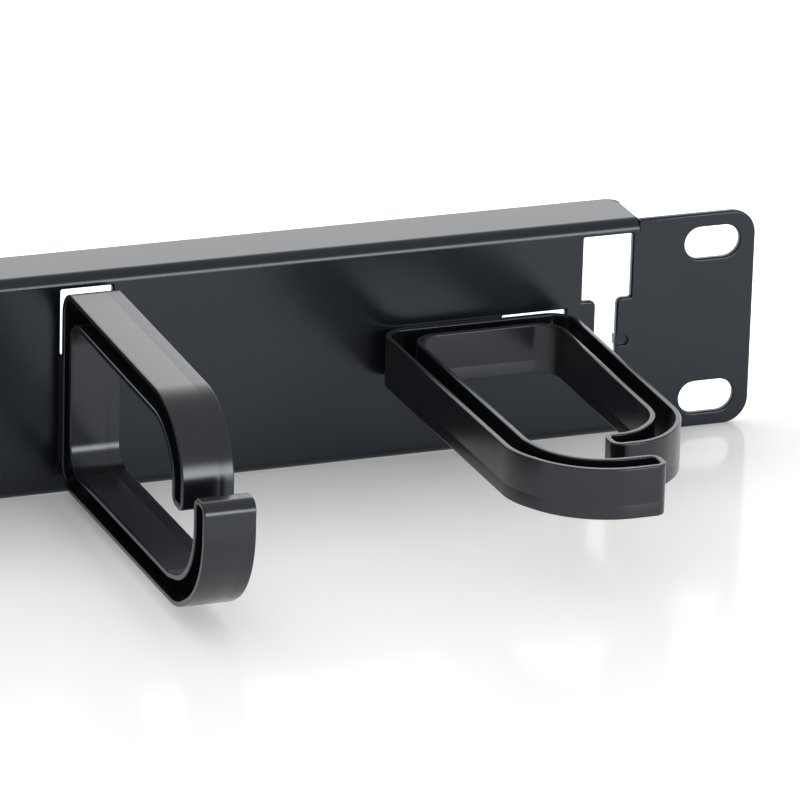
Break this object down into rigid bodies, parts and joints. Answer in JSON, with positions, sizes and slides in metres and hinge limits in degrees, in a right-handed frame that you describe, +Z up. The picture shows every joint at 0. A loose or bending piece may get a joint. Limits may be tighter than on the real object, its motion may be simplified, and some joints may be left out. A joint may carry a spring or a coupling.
{
  "type": "rack cable management panel",
  "caption": "Flat one-unit rack panel with folded top and bottom edges, slotted ears and open plastic cable rings clipped into keyholes, upright along the face and on their sides at the ends.",
  "frame": {"origin": "middle of the four rack slots, on the panel's front face", "axes": "+X along the panel to the right seen from the front, +Y back into the rack, +Z up"},
  "size_m": [0.483, 0.0959, 0.0438],
  "materials": {
    "panel": "satin black powder coat, fine texture",
    "ring": "satin to gloss black moulded plastic"
  },
  "bodies": {
    "root": {"panel": "panel", "ring_left_end": "ring", "ring_left": "ring", "ring_middle": "ring", "ring_right": "ring", "ring_right_end": "ring"}
  },
  "joints": []
}
